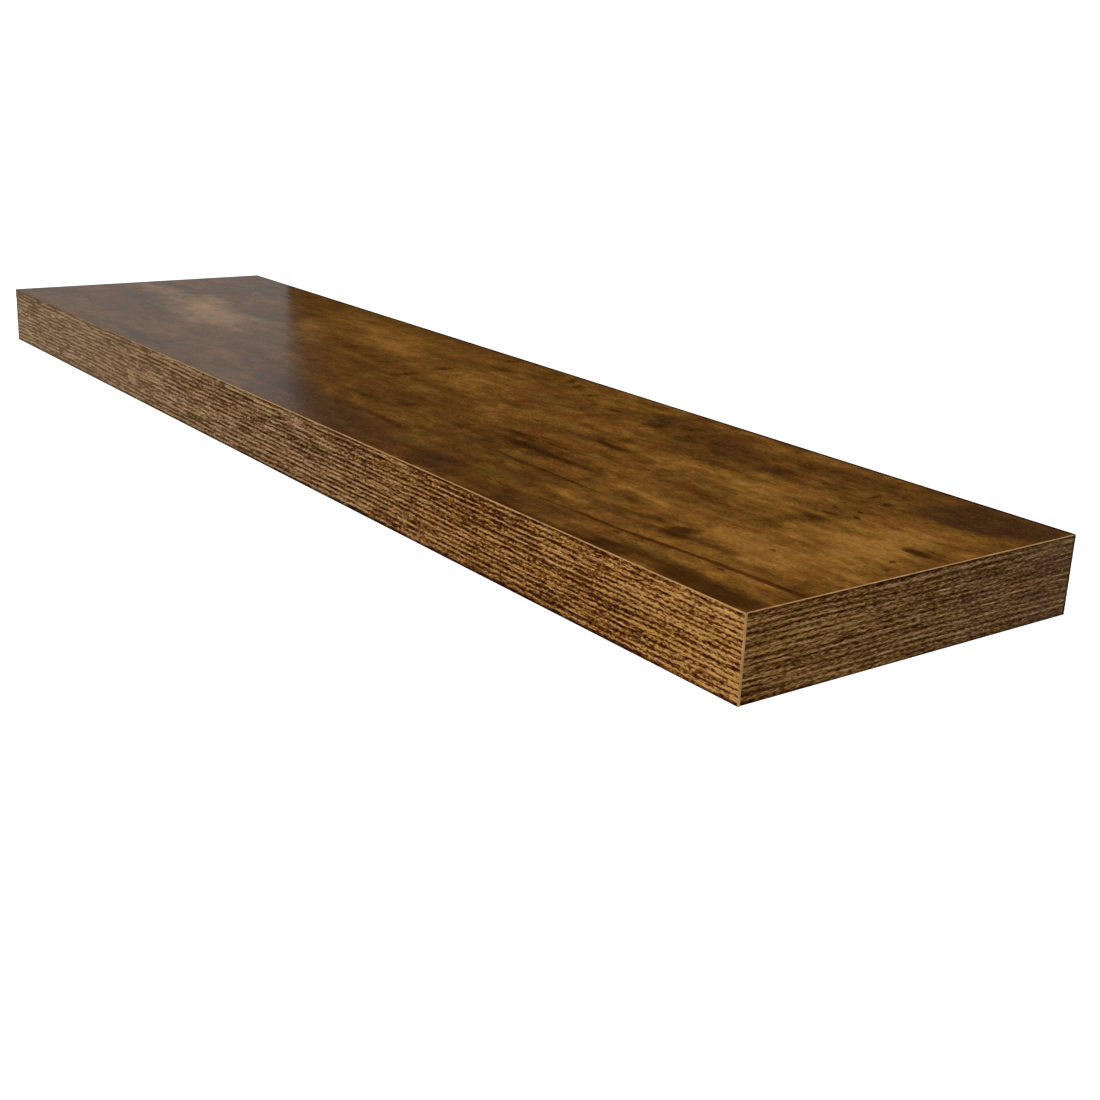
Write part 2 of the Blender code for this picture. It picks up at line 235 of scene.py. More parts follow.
# The board's decor: a rustic brown print under a semi-gloss lacquer
topDecor = {
    "boardLength": 800 * mm,
    "tones": [
        (0.38, paint(72, 43, 11)),
        (0.45, paint(96, 60, 17)),
        (0.51, paint(115, 74, 23)),
        (0.57, paint(136, 91, 31)),
        (0.65, paint(164, 115, 48)),
    ],

    # what tints it: the colour, the values at which it starts and is full, and how strong it is
    "redBrown": (paint(116, 64, 24), 0.52, 0.72, 0.45),
    "olive": (paint(102, 78, 24), 0.54, 0.74, 0.5),
    "smoky": (paint(60, 36, 23), 0.02, 0.75, 0.62),
    "rusty": (paint(100, 50, 8), 0.05, 0.8, 0.7),

    # dust lifts the ground in blotches, and scorches and cracks darken it; scorches are deeper on the right
    "dustLift": paint(108, 86, 62),
    "dustFades": (0.0, 1.9),
    "blotches": (2.4, -0.2),
    "scorched": paint(64, 34, 5),
    "scorchFades": (0.0, 0.85),
    "scorchStrength": 0.5,
    "scorchGain": 0.36,
    "scorchDeepens": (300 * mm, 420 * mm),
    "cracked": paint(72, 32, 4),
    "crackFades": (0.02, 0.55),
    "crackStrength": 0.8,
    "glowLift": 0.11,
    "flecksPerMetre": 85.0,
    "fleckFades": (0.2, 0.06),
    "fleckStrength": 0.55,
    "busyFades": (0.56, 0.7),

    # the noises: their marks' length and width in mm, detail, roughness and shift
    "clouds": (75, 48, 6.0, 0.6, (3.1, 1.7)),
    "mottles": (15, 10, 6.0, 0.7, (6.3, 2.2)),
    "streaky": (60, 7, 5.0, 0.6, (0.4, 5.2)),
    "redder": (70, 24, 3.0, 0.5, (9.0, 2.0)),
    "greener": (50, 20, 3.0, 0.5, (4.0, 8.0)),
    "broadGrain": (90, 4, 5.0, 0.65, (1.0, 0.3)),
    "fineGrain": (18, 1.3, 5.0, 0.65, (7.0, 0.9)),
    "patina": (2.4, 1.5, 4.0, 0.7, (3.0, 4.0)),
    "pores": (3.2, 0.7, 3.0, 0.6, (0.0, 0.0)),
    "busy": (46, 30, 3.0, 0.6, (2.0, 6.0)),
    "gloss": (50, 12, 4.0, 0.6, (5.0, 5.0)),
    "mottleWarp": 0.3,

    # their shares in the ground's tone, which is calmer towards the left, and in the grain over it
    "cloudShare": 0.35,
    "mottleShare": 0.4,
    "streakShare": 0.25,
    "calm": 0.6,
    "calmUntil": (260 * mm, 560 * mm),
    "printLevel": -0.45,
    "broadPrint": 0.3,
    "finePrint": 0.6,
    "patinaPrint": 1.8,
    "porePrint": 0.25,

    # what frays the marks: the length and width of its waves, and its push along and out, in mm
    "drift": (50, 34, 16, 10),
    "torn": (14, 6, 9, 5),
    "tornFiner": (3, 1.6, 2.4, 1.2),
    "bent": (30, 12, 6, 3),
    "flecked": (4, 2, 3, 1.5),

    # the painted shade on the rear and left arrises, the raw fibreboard and the lacquer
    "arrisShade": paint(30, 15, 6),
    "arrisShadeStrength": 0.85,
    "rearShade": (3.4 * mm, 1.8 * mm),
    "leftShade": (4.0 * mm, 1.5 * mm),
    "decorFaces": (0.4, 0.6),
    "rawFibres": ((0.9 * mm, 0.9 * mm, 0.3 * mm), 4.0, 0.7),
    "paleFibre": paint(150, 108, 68),
    "darkFibre": paint(104, 72, 44),
    "rawRoughness": 0.85,
    "refraction": 1.5,
    "roughness": 0.24,
    "glossSwing": 0.12,
    "poreRoughness": 0.05,
    "crackHeight": -1.5,
    "embossDepth": 0.03 * mm,

    # each mark: along from the left end, out from the wall, half length and half width, all in mm,
    # its tilt in degrees and its strength
    "scorches": [
        (557, 38, 12, 7, -30, 0.9), (540, 24, 8, 9, 20, 0.5), (584, 89, 20, 5, -2, 0.9),
        (570, 88, 12, 4, 10, 0.6), (560, 129, 34, 6, 2, 1.0), (596, 128, 44, 5, 2, 0.9),
        (536, 117, 18, 4, -6, 0.9), (572, 114, 34, 3, -2, 0.6), (626, 139, 7, 5, 0, 0.7),
        (664, 143, 7, 4, 10, 0.7), (579, 158, 7, 4, 10, 0.7), (565, 153, 14, 3, 0, 0.6),
        (710, 154, 9, 13, 30, 1.1), (716, 160, 8, 7, 20, 0.6), (730, 157, 24, 4, -3, 0.8),
        (672, 156, 44, 4, -3, 0.5), (690, 152, 20, 3, -8, 0.5), (470, 163, 30, 5, 2, 0.6),
        (495, 165, 30, 4, 0, 0.4), (575, 74, 12, 9, 20, 0.45), (722, 87, 13, 7, 0, 0.85),
        (718, 100, 9, 6, 0, 0.5), (716, 108, 6, 7, 0, 0.5), (783, 86, 12, 5, 0, 1.3),
        (715, 37, 4, 9, -20, 0.8), (727, 42, 4, 6, 20, 0.8), (718, 48, 4, 3, 0, 0.7),
        (717, 66, 4, 2, 40, 1.0), (723, 76, 7, 1.8, 0, 1.3), (728, 62, 3, 2, 40, 1.2),
        (734, 70, 3, 2, 30, 1.2), (785, 104, 2, 2, 0, 1.3), (791, 114, 3, 2, 0, 1.0),
        (750, 137, 3, 2, 0, 0.9), (757, 174, 3, 2, 0, 0.9), (698, 179, 4, 2, 0, 0.8),
        (706, 194, 13, 7, 0, 0.9), (774, 194, 50, 13, 1, 1.3), (724, 189, 40, 6, -3, 0.5),
        (640, 198, 90, 5, 0, 0.7), (445, 12, 5, 12, -35, 0.8), (459, 18, 4, 9, -30, 0.8),
        (482, 26, 6, 9, 15, 0.7), (518, 38, 8, 5, -20, 0.7), (430, 8, 8, 4, -30, 0.6),
        (405, 32, 14, 8, 0, 0.7), (402, 66, 6, 6, 0, 0.6), (478, 93, 9, 5, 10, 0.6),
        (381, 64, 7, 14, -8, 0.8), (384, 92, 7, 16, 6, 0.85), (380, 11, 5, 12, 12, 0.8),
        (390, 30, 18, 12, 0, 0.45), (297, 79, 17, 7, 6, 0.8), (329, 83, 9, 5, 0, 0.7),
        (290, 94, 5, 5, 0, 0.7), (287, 120, 30, 6, 3, 0.6), (325, 124, 11, 5, 0, 0.7),
        (262, 105, 20, 5, 4, 0.55), (34, 81, 30, 6, -4, 0.7), (66, 80, 9, 24, 10, 0.7),
        (140, 101, 5, 4, 0, 0.8), (207, 97, 12, 8, 0, 0.4), (185, 50, 12, 8, 0, 0.4),
        (195, 20, 24, 12, 0, 0.4), (100, 158, 30, 6, 2, 0.3), (215, 144, 14, 6, 0, 0.4),
        (62, 128, 50, 9, 6, 0.35), (180, 188, 90, 10, 0, 0.3),
    ],
    "smokes": [
        (768, 18, 46, 28, 0, 1.1), (760, 34, 36, 10, 0, 0.9), (790, 12, 20, 18, 0, 0.6),
        (548, 22, 18, 18, 0, 0.7), (659, 47, 13, 13, 0, 0.8), (620, 45, 40, 26, 20, 0.45),
        (605, 22, 24, 14, 0, 0.4), (470, 190, 130, 34, 2, 0.85), (560, 182, 30, 20, 10, 0.55),
        (640, 186, 70, 16, 0, 0.5), (345, 150, 120, 28, 8, 0.35), (425, 120, 60, 26, 10, 0.3),
        (664, 162, 26, 10, 0, 0.5), (60, 130, 90, 22, 4, 0.3), (180, 190, 150, 24, 0, 0.35),
        (45, 22, 70, 24, 0, 0.3), (255, 145, 60, 14, 4, 0.3), (540, 150, 120, 26, 0, 0.3),
        (430, 30, 30, 16, 10, 0.3), (700, 12, 60, 12, 0, 0.35), (376, 172, 66, 20, 3, 0.45),
        (470, 172, 60, 16, 0, 0.2),
    ],
    "rusts": [
        (478, 70, 6, 12, 0, 1.0), (521, 60, 8, 11, 0, 0.9), (541, 73, 9, 7, 0, 0.8),
        (590, 95, 14, 7, 10, 0.6), (779, 139, 16, 16, 0, 0.5), (486, 115, 22, 10, 0, 0.4),
        (250, 50, 34, 14, 8, 0.5), (684, 110, 44, 5, 7, 0.6), (752, 112, 24, 3, 4, 0.6),
        (168, 42, 50, 8, 30, 0.4), (330, 40, 40, 16, 8, 0.35), (764, 158, 26, 8, 0, 0.3),
        (655, 105, 30, 9, 10, 0.4), (640, 120, 44, 6, 6, 0.35), (560, 42, 8, 6, 0, 0.6),
        (460, 122, 40, 9, 6, 0.35),
    ],
    "glows": [
        (728, 130, 14, 18, 0, 0.9), (770, 95, 44, 44, 0, 0.6), (750, 110, 90, 80, 0, 0.6),
        (120, 104, 80, 24, 12, 0.3), (680, 165, 60, 10, 0, 0.4), (440, 60, 70, 34, 8, 0.6),
        (500, 90, 60, 30, 10, 0.35), (620, 78, 40, 18, 6, 0.6), (622, 16, 14, 8, 0, 0.7),
        (642, 12, 14, 8, 0, 0.5), (320, 60, 70, 20, 10, 0.45), (560, 106, 60, 8, 2, 0.4),
        (740, 180, 60, 6, -2, 0.5), (770, 60, 40, 20, 0, 0.5), (700, 132, 60, 12, 4, 0.4),
        (750, 148, 60, 16, 0, 0.5), (545, 122, 34, 3, -2, 0.5), (680, 78, 60, 26, 0, 0.4),
        (232, 32, 70, 44, 0, 0.7), (305, 50, 80, 50, 0, 0.7), (385, 40, 70, 50, 0, 0.5),
        (488, 36, 60, 46, 0, 0.75), (550, 60, 50, 30, 0, 0.3), (690, 62, 44, 30, 0, 0.5),
        (695, 140, 60, 22, 0, 0.5), (768, 136, 50, 26, 0, 0.6), (690, 178, 56, 18, 0, 0.6),
        (752, 168, 50, 12, 0, 0.5), (220, 70, 48, 16, 22, 0.5), (264, 88, 28, 11, 16, 0.5),
        (720, 100, 70, 50, 0, 0.15), (764, 176, 40, 15, 0, 0.5),
    ],
    "dusts": [
        (36, 101, 60, 17, 4, 1.3), (124, 108, 84, 32, 14, 1.8), (176, 110, 60, 34, 6, 1.3),
        (98, 86, 40, 16, 20, 0.6), (30, 36, 60, 30, 0, 0.5), (10, 156, 34, 16, 0, 0.5),
        (232, 96, 50, 20, 8, 0.6), (90, 40, 60, 24, 10, 0.3), (218, 68, 46, 14, 22, 0.8),
        (264, 94, 30, 10, 14, 0.7), (184, 92, 18, 6, 10, 0.6), (120, 130, 24, 8, 4, 0.5),
    ],
    "cracks": [
        (612, 148.4, 54, 1.2, 0.6, 0.9), (660, 176.6, 34, 1.2, -2, 0.7),
        (690, 175.4, 30, 1.8, -2, 0.9), (716, 173.4, 28, 2.2, -6, 1.0),
        (744, 170.8, 32, 2.3, -4, 1.0), (772, 169.0, 34, 2.3, -4, 1.0),
        (796, 167.2, 28, 2.2, -4, 0.9), (575, 149, 40, 1.4, 4, 0.5), (610, 180, 60, 1.0, 2, 0.4),
        (560, 176, 60, 0.9, 2, 0.35), (430, 122, 40, 0.9, 4, 0.35), (480, 156, 50, 1.2, 1, 0.35),
    ],
}


# adds up soft ellipses, each 1 at its middle and 0 at its rim
def sumOfMarks(tree, place, marks):
    total = 0.0
    for along, out, halfLength, halfWidth, tilt, strength in marks:
        inputs = {
            "Vector": place,
            "Location": (along * mm, out * mm, 0.0),
            "Rotation": (0.0, 0.0, math.radians(tilt)),
            "Scale": (halfLength * mm, halfWidth * mm, 1.0),
        }
        spot = addNode(tree, "Mapping", inputs, vector_type="TEXTURE").outputs[0]
        mask = addNode(tree, "TexGradient", {"Vector": spot}, gradient_type="SPHERICAL").outputs["Fac"]
        total = calc(tree, "MULTIPLY_ADD", mask, strength, total)
    return total


# the decor on one face of a skin, up (side 1) or down (side -1), and raw fibreboard on its other faces
def decorSkin(name, side):
    look = topDecor
    material, tree, shader = newFinish(name, IOR=look["refraction"])
    coordinates = addNode(tree, "TexCoord")
    axes = addNode(tree, "SeparateXYZ", {0: coordinates.outputs["Object"]})
    along = calc(tree, "MULTIPLY_ADD", axes.outputs[0], float(side), look["boardLength"] / 2)
    out = calc(tree, "MULTIPLY", axes.outputs[1], -1.0)
    sheet = addNode(tree, "CombineXYZ", {0: along, 1: out}).outputs[0]

    def frayed(place, kind):
        length, width, pushAlong, pushOut = look[kind]
        return ragged(tree, place, (length * mm, width * mm, 1.0), (pushAlong * mm, pushOut * mm))

    def noise(place, kind, warp=0.0):
        length, width, detail, roughness, shift = look[kind]
        return streaks(tree, place, (length * mm, width * mm, 1.0), detail, roughness, (*shift, 0.0), warp)

    # the ground: broad clouds of tone, redder and greener in places
    drift = frayed(sheet, "drift")
    mottles = noise(sheet, "mottles", look["mottleWarp"])
    tone = calc(tree, "MULTIPLY", noise(drift, "streaky"), look["streakShare"])
    tone = calc(tree, "MULTIPLY_ADD", mottles, look["mottleShare"], tone)
    tone = calc(tree, "MULTIPLY_ADD", noise(drift, "clouds"), look["cloudShare"], tone)
    lively = fade(tree, along, *look["calmUntil"])
    liveliness = calc(tree, "MULTIPLY_ADD", lively, 1 - look["calm"], look["calm"])
    tone = swing(tree, tone, liveliness, 0.5)
    tone = calc(tree, "MULTIPLY_ADD", sumOfMarks(tree, drift, look["glows"]), look["glowLift"], tone)
    ground = colourRamp(tree, tone, look["tones"])
    ground = tinted(tree, ground, noise(drift, "redder"), look["redBrown"])
    ground = tinted(tree, ground, noise(drift, "greener"), look["olive"])

    # the marks laid in by hand, their rims broken up
    torn = frayed(frayed(sheet, "torn"), "tornFiner")
    ground = tinted(tree, ground, sumOfMarks(tree, drift, look["smokes"]), look["smoky"])
    dusts = sumOfMarks(tree, drift, look["dusts"] if side > 0 else [])
    blotchy = calc(tree, "MULTIPLY_ADD", mottles, *look["blotches"])
    dust = fade(tree, calc(tree, "MULTIPLY", dusts, blotchy), *look["dustFades"])
    ground = mixColour(tree, dust, ground, look["dustLift"], "ADD")
    ground = tinted(tree, ground, sumOfMarks(tree, torn, look["rusts"]), look["rusty"])
    scorch = fade(tree, sumOfMarks(tree, torn, look["scorches"]), *look["scorchFades"])
    deeper = fade(tree, along, *look["scorchDeepens"])
    depth = calc(tree, "MULTIPLY_ADD", deeper, look["scorchGain"], look["scorchStrength"])
    ground = lay(tree, ground, scorch, depth, look["scorched"])
    crack = fade(tree, sumOfMarks(tree, frayed(sheet, "bent"), look["cracks"]), *look["crackFades"])
    ground = lay(tree, ground, crack, look["crackStrength"], look["cracked"])

    # the grain along the board, its pores and a scatter of small flecks
    pores = noise(sheet, "pores")
    fineGrain = noise(sheet, "fineGrain")
    shade = look["printLevel"]
    for grain, share in (
        (noise(drift, "broadGrain"), "broadPrint"), (fineGrain, "finePrint"),
        (noise(sheet, "patina"), "patinaPrint"), (pores, "porePrint")
    ):
        shade = calc(tree, "MULTIPLY_ADD", grain, look[share], shade)
    shade = swing(tree, shade, liveliness, 1.0, middle=1.0)
    grey = addNode(tree, "CombineColor", {0: shade, 1: shade, 2: shade}).outputs[0]
    ground = mixColour(tree, 1.0, ground, grey, "MULTIPLY")
    cells = {"Vector": frayed(sheet, "flecked"), "Scale": look["flecksPerMetre"]}
    fromFleck = addNode(tree, "TexVoronoi", cells).outputs["Distance"]
    busy = fade(tree, noise(sheet, "busy"), *look["busyFades"])
    fleck = calc(tree, "MULTIPLY", fade(tree, fromFleck, *look["fleckFades"]), busy)
    ground = lay(tree, ground, fleck, look["fleckStrength"], look["scorched"])

    # the rear and left arrises get painted shade, a dark brown along them
    arris = calc(tree, "MAXIMUM", fade(tree, out, *look["rearShade"]), fade(tree, along, *look["leftShade"]))
    ground = lay(tree, ground, arris, look["arrisShadeStrength"], look["arrisShade"])

    # raw fibreboard wherever the face isn't the decor
    facing = addNode(tree, "SeparateXYZ", {0: coordinates.outputs["Normal"]}).outputs[2]
    isDecor = fade(tree, calc(tree, "MULTIPLY", facing, float(side)), *look["decorFaces"])
    fibres = streaks(tree, coordinates.outputs["Object"], *look["rawFibres"])
    fibreboard = mixColour(tree, fibres, look["paleFibre"], look["darkFibre"])
    colour = mixColour(tree, isDecor, fibreboard, ground)

    # the lacquer: slightly uneven gloss, duller in the pores, over a fine emboss
    uneven = look["glossSwing"]
    gloss = calc(tree, "MULTIPLY_ADD", noise(drift, "gloss"), uneven, look["roughness"] - uneven / 2)
    gloss = calc(tree, "MULTIPLY_ADD", pores, look["poreRoughness"], gloss)
    raw = look["rawRoughness"]
    rough = calc(tree, "MULTIPLY_ADD", isDecor, calc(tree, "SUBTRACT", gloss, raw), raw)
    height = calc(tree, "MULTIPLY_ADD", crack, look["crackHeight"], calc(tree, "ADD", pores, fineGrain))
    feed(tree, shader, Base_Color=colour, Roughness=rough, Normal=bump(tree, height, look["embossDepth"]))
    return material


boardDecor = decorSkin("topDecor", 1)
dress("top_panel", boardDecor)
dress("bottom_panel", decorSkin("undersideDecor", -1))
print("decor skins finished")


# The edging: a wood print pressed with deep ridges along the grain, tan where it is trimmed
edging = {
    "shelfLength": topDecor["boardLength"],
    "shelfDepth": 200 * mm,
    "height": 38 * mm,
    "thickness": 1.28 * mm,
    "trim": 0.34 * mm,
    "wallGap": 0.5 * mm,
    "behindFront": 1.3 * mm,
    "rows": 134,
    "frontColumns": 664,
    "endColumns": 248,

    # the ridges; bites say how hard they are pressed, from one end of a strip to the other
    "ridgePitch": 2.55 * mm,
    "ridgeDepth": 0.28 * mm,
    "ridgeShare": 0.44,
    "rimEase": 0.35,  # in mm: over this much they rise from the rims
    "middlePress": 0.74,
    "pressGain": 1.7,
    "frontBites": (1.5, 1.0, 0.8, 0.9, 1.02),
    "endBites": (1.05, 0.78, 0.55),

    # how the ridges wander: the cells' length and height and the most they shift, in mm
    "wanders": ((130, 12, 1.6), (34, 5, 0.8)),

    # what breaks them up: the cells' length, what calm adds to it, their height, all in mm, and the share
    "runs": ((32, 14, 0.85, 0.36), (9, 5, 0.62, 0.42), (3, 0, 0.5, 0.26)),

    # where they are worn: the cells' length and height in mm, the share, and how that fades along the shelf
    "wear": (7, 0.8, 0.55),
    "wearStart": 1.3,
    "wearFade": 1.5,

    # the print is darker at these edges: how much, and how far in from them in mm; at the lower edge and at
    # the left end this is painted shade
    "lowerShade": (0.9, 1.4),
    "upperEdge": (0.5, 1.5),
    "leftEndShade": (1.2, 2.2),
    "leftCorner": (0.45, 7),
    "cornerLength": 150 * mm,

    # the print's layers: their marks' length and width in mm, detail, roughness and shift
    "fibres": (2.8, 0.5, 2.0, 0.6),
    "clouds": (60, 14, 4.0, 0.6, (2.0, 3.0, 1.0)),
    "pores": (9, 0.42, 2.0, 0.5, (1.0, 7.0, 9.0)),
    "paleFibres": (16, 0.36, 2.0, 0.5, (5.0, 2.0, 6.0)),
    "redder": (24, 6, 3.0, 0.6, (8.0, 1.0, 4.0)),
    "greener": (30, 8, 3.0, 0.6, (3.0, 9.0, 2.0)),
    "fibreSwing": 1.2,
    "gritSwing": 3.0,
    "cloudSwing": 0.3,
    "toneSteps": (0.0, 0.26, 0.5, 0.72, 1.0),

    # what tints it: the colour, the values at which it starts and is full, and how strong it is
    "poreInk": (paint(54, 14, 4), 0.6, 0.7, 0.75),
    "redTint": ((1.0, 0.84, 0.76, 1.0), 0.54, 0.76, 0.6),
    "paleInkAndHighlight": paint(228, 190, 142),
    "paleFades": (0.58, 0.68),
    "paleOnCrests": (0.55, 0.15),
    "paleStrength": 0.6,
    "oliveTint": (0.94, 0.98, 0.7, 1.0),
    "oliveFades": (0.5, 0.68),
    "refraction": 1.48,
    "shine": 0.1,
    "roughness": 0.42,
    "grooveRoughness": 0.25,
    "fibreDepth": 0.05 * mm,
}


# The two prints. Their tones run from the crests to the grooves, at the near end and at the far end; the dark
# of the grooves is print and painted shade, and the near tones are warmer and lighter than the far ones,
# which is painted light. The painted light's fades and turnsFar give where along the strip they start and are
# full; the grit is a layer as above, and the painted sheen and the painted shade at the rear rim are tints as
# above
edgingPrints = {
    "frontEdgingPrint": {
        "grainAxis": 0,
        "grit": (1.8, 0.5, 1.0, 0.6, (6.0, 1.0, 3.0)),
        "contrast": 0.78,
        "nearTones": [
            paint(194, 145, 82), paint(141, 93, 34), paint(104, 61, 9), paint(72, 29, 3), paint(46, 9, 3),
        ],
        "farTones": [
            paint(186, 151, 116), paint(140, 105, 69), paint(113, 78, 38), paint(79, 45, 6), paint(46, 16, 0),
        ],
        "turnsFar": (230 * mm, 10 * mm),
        "paintedLightFades": (260 * mm, 395 * mm),
        "paintedLight": 0.24,
        "paintedSheen": (paint(138, 110, 78), 20 * mm, -260 * mm, 0.38),
    },
    "endEdgingPrint": {
        "grainAxis": 1,
        "grit": (2.5, 0.5, 1.0, 0.6, (6.0, 1.0, 3.0)),
        "contrast": 0.7,
        "nearTones": [
            paint(160, 123, 74), paint(123, 87, 38), paint(103, 67, 18), paint(75, 39, 2), paint(46, 14, 0),
        ],
        "farTones": [
            paint(146, 115, 82), paint(112, 82, 46), paint(94, 63, 25), paint(70, 39, 5), paint(44, 16, 1),
        ],
        "turnsFar": (-200 * mm, -20 * mm),
        "paintedLightFades": (-25 * mm, -75 * mm),
        "paintedLight": 0.075,
        "paintedSheen": (paint(138, 110, 78), -60 * mm, 0.0, 0.1),
        "rearRimShade": (paint(44, 26, 14), -2.6 * mm, -0.9 * mm, 0.8),
    },
}


# smooth random heights from 0 to 1, on a net of cells of the given length and height
def cellNoise(along, up, cellLength, cellHeight, seed):
    acrossCells = along / cellLength
    upCells = up / cellHeight
    left = np.floor(acrossCells).astype(int)
    low = np.floor(upCells).astype(int)
    cells = (left.max() - left.min() + 2, low.max() - low.min() + 2)
    heights = np.random.default_rng(seed).random(cells)
    easeAcross = acrossCells - left
    easeUp = upCells - low
    easeAcross = easeAcross * easeAcross * (3 - 2 * easeAcross)
    easeUp = easeUp * easeUp * (3 - 2 * easeUp)
    column = left - left.min()
    row = low - low.min()
    lower = heights[column, row] * (1 - easeAcross) + heights[column + 1, row] * easeAcross
    upper = heights[column, row + 1] * (1 - easeAcross) + heights[column + 1, row + 1] * easeAcross
    return lower * (1 - easeUp) + upper * easeUp


# how deep the press sank at each place: 0 on a ridge's crest and 1 at the bottom of a groove
def pressedGrain(along, up, calm, bite, seed):
    look = edging
    bend = 0.0
    for cellLength, cellHeight, shift in look["wanders"]:
        bend += shift * mm * cellNoise(along, up, cellLength * mm, cellHeight * mm, seed)
        seed += 1
    level = up + bend
    deep = look["ridgeShare"] * (0.5 - 0.5 * np.cos(math.tau * level / look["ridgePitch"]))
    for cellLength, calmer, cellHeight, share in look["runs"]:
        deep += share * cellNoise(along, level, (cellLength + calmer * calm) * mm, cellHeight * mm, seed)
        seed += 1
    cellLength, cellHeight, share = look["wear"]
    worn = (1 - calm) * np.clip(look["wearStart"] - look["wearFade"] * along / look["shelfLength"], 0, 1)
    deep += share * worn * (cellNoise(along, level, cellLength * mm, cellHeight * mm, seed) - 0.5)
    return np.clip(0.5 + (deep - look["middlePress"]) * look["pressGain"] * bite, 0, 1)


# how much darker the print is at this distance, in mm, from one of its edges
def edgeShade(edge, distance):
    dark, reach = edging[edge]
    return dark * np.clip(reach - distance, 0, 1)


# a closed strip of edging, pressed as hard as bites say from its one end to the other;
# toShelf puts a place along it, in from its face and up into the shelf's frame
def edgingStrip(name, length, columns, trimmedEnds, calm, bites, seed, finishes, toShelf):
    look = edging
    trim = look["trim"]
    halfHeight = look["height"] / 2
    if trimmedEnds:
        stations = np.concatenate(([0.0], np.linspace(trim, length - trim, columns), [length]))
    else:
        stations = np.linspace(0.0, length, columns)
    heights = np.linspace(trim - halfHeight, halfHeight - trim, look["rows"])
    along, up = np.meshgrid(stations, heights, indexing="ij")
    bite = np.interp(along / length, np.linspace(0, 1, len(bites)), bites)
    pressed = pressedGrain(along, up, calm, bite, seed)
    fromBottom = (up + halfHeight) / mm
    fromTop = (halfHeight - up) / mm
    rim = np.clip((np.minimum(fromBottom, fromTop) - trim / mm) / look["rimEase"], 0, 1)
    inward = pressed * rim * look["ridgeDepth"]
    # painted shade darkens the print along the lower edge; on the end strips it is also darker along the
    # upper edge
    pressed += edgeShade("lowerShade", fromBottom) + calm * edgeShade("upperEdge", fromTop)
    if trimmedEnds:
        inward[0] = inward[-1] = trim
        # on the front strip the print is darker near its upper edge towards the left, and painted shade
        # darkens its left end
        towardsLeft = np.clip(1 - along / look["cornerLength"], 0, 1)
        dark, reach = look["leftCorner"]
        corner = dark * towardsLeft * np.clip(1 - fromTop / reach, 0, 1)
        pressed += corner + edgeShade("leftEndShade", along / mm)

    # each ring runs from the inner lower corner round the face to the inner upper corner
    count = len(stations)
    outer = np.full((count, 1), trim)
    inner = np.full((count, 1), look["thickness"])
    depths = np.hstack((inner, outer, inward, outer, inner))
    low = np.full((count, 2), -halfHeight)
    levels = np.hstack((low, up, -low))
    around = depths.shape[1]
    places = np.repeat(stations[:, None], around, axis=1)
    corners = toShelf(places.ravel(), depths.ravel(), levels.ravel())
    faces = []
    for start in range(0, (count - 1) * around, around):
        after = start + around
        for point in range(around):
            following = (point + 1) % around
            faces.append((start + point, start + following, after + following, after + point))
    for start in (0, (count - 1) * around):
        for point in range(1, around - 1):
            faces.append((start, start + point, start + point + 1))
    strip = newPiece(name, corners.tolist(), faces, finishes, smooth=False)

    # the lower rim, the inside and the strip's start are dark brown, which is painted shade, the upper rim
    # and its end are bare, and the upper edge has the board's decor
    printed, bare, shaded, decor = range(4)
    finishOf = np.full((count - 1, around), printed)
    finishOf[:, [around - 1, 0, 1]] = shaded
    finishOf[:, around - 3] = bare
    finishOf[:, around - 2] = decor
    if trimmedEnds:
        finishOf[[0, -1], 2:around - 3] = [[shaded], [bare]]
    finishOf = np.concatenate((finishOf.ravel(), np.repeat([shaded, bare], around - 2)))
    strip.data.polygons.foreach_set("material_index", finishOf.astype(np.int32))
    strip.data.polygons.foreach_set("use_smooth", finishOf == printed)
    # the pressed attribute: how deep the press sank, with the painted shade at the edges added in
    unpressed = np.zeros((count, 2))
    grooves = np.hstack((unpressed, pressed, unpressed)).ravel()
    attribute = strip.data.attributes.new("pressed", "FLOAT", "POINT")
    attribute.data.foreach_set("value", grooves.astype(np.float32))
    return strip
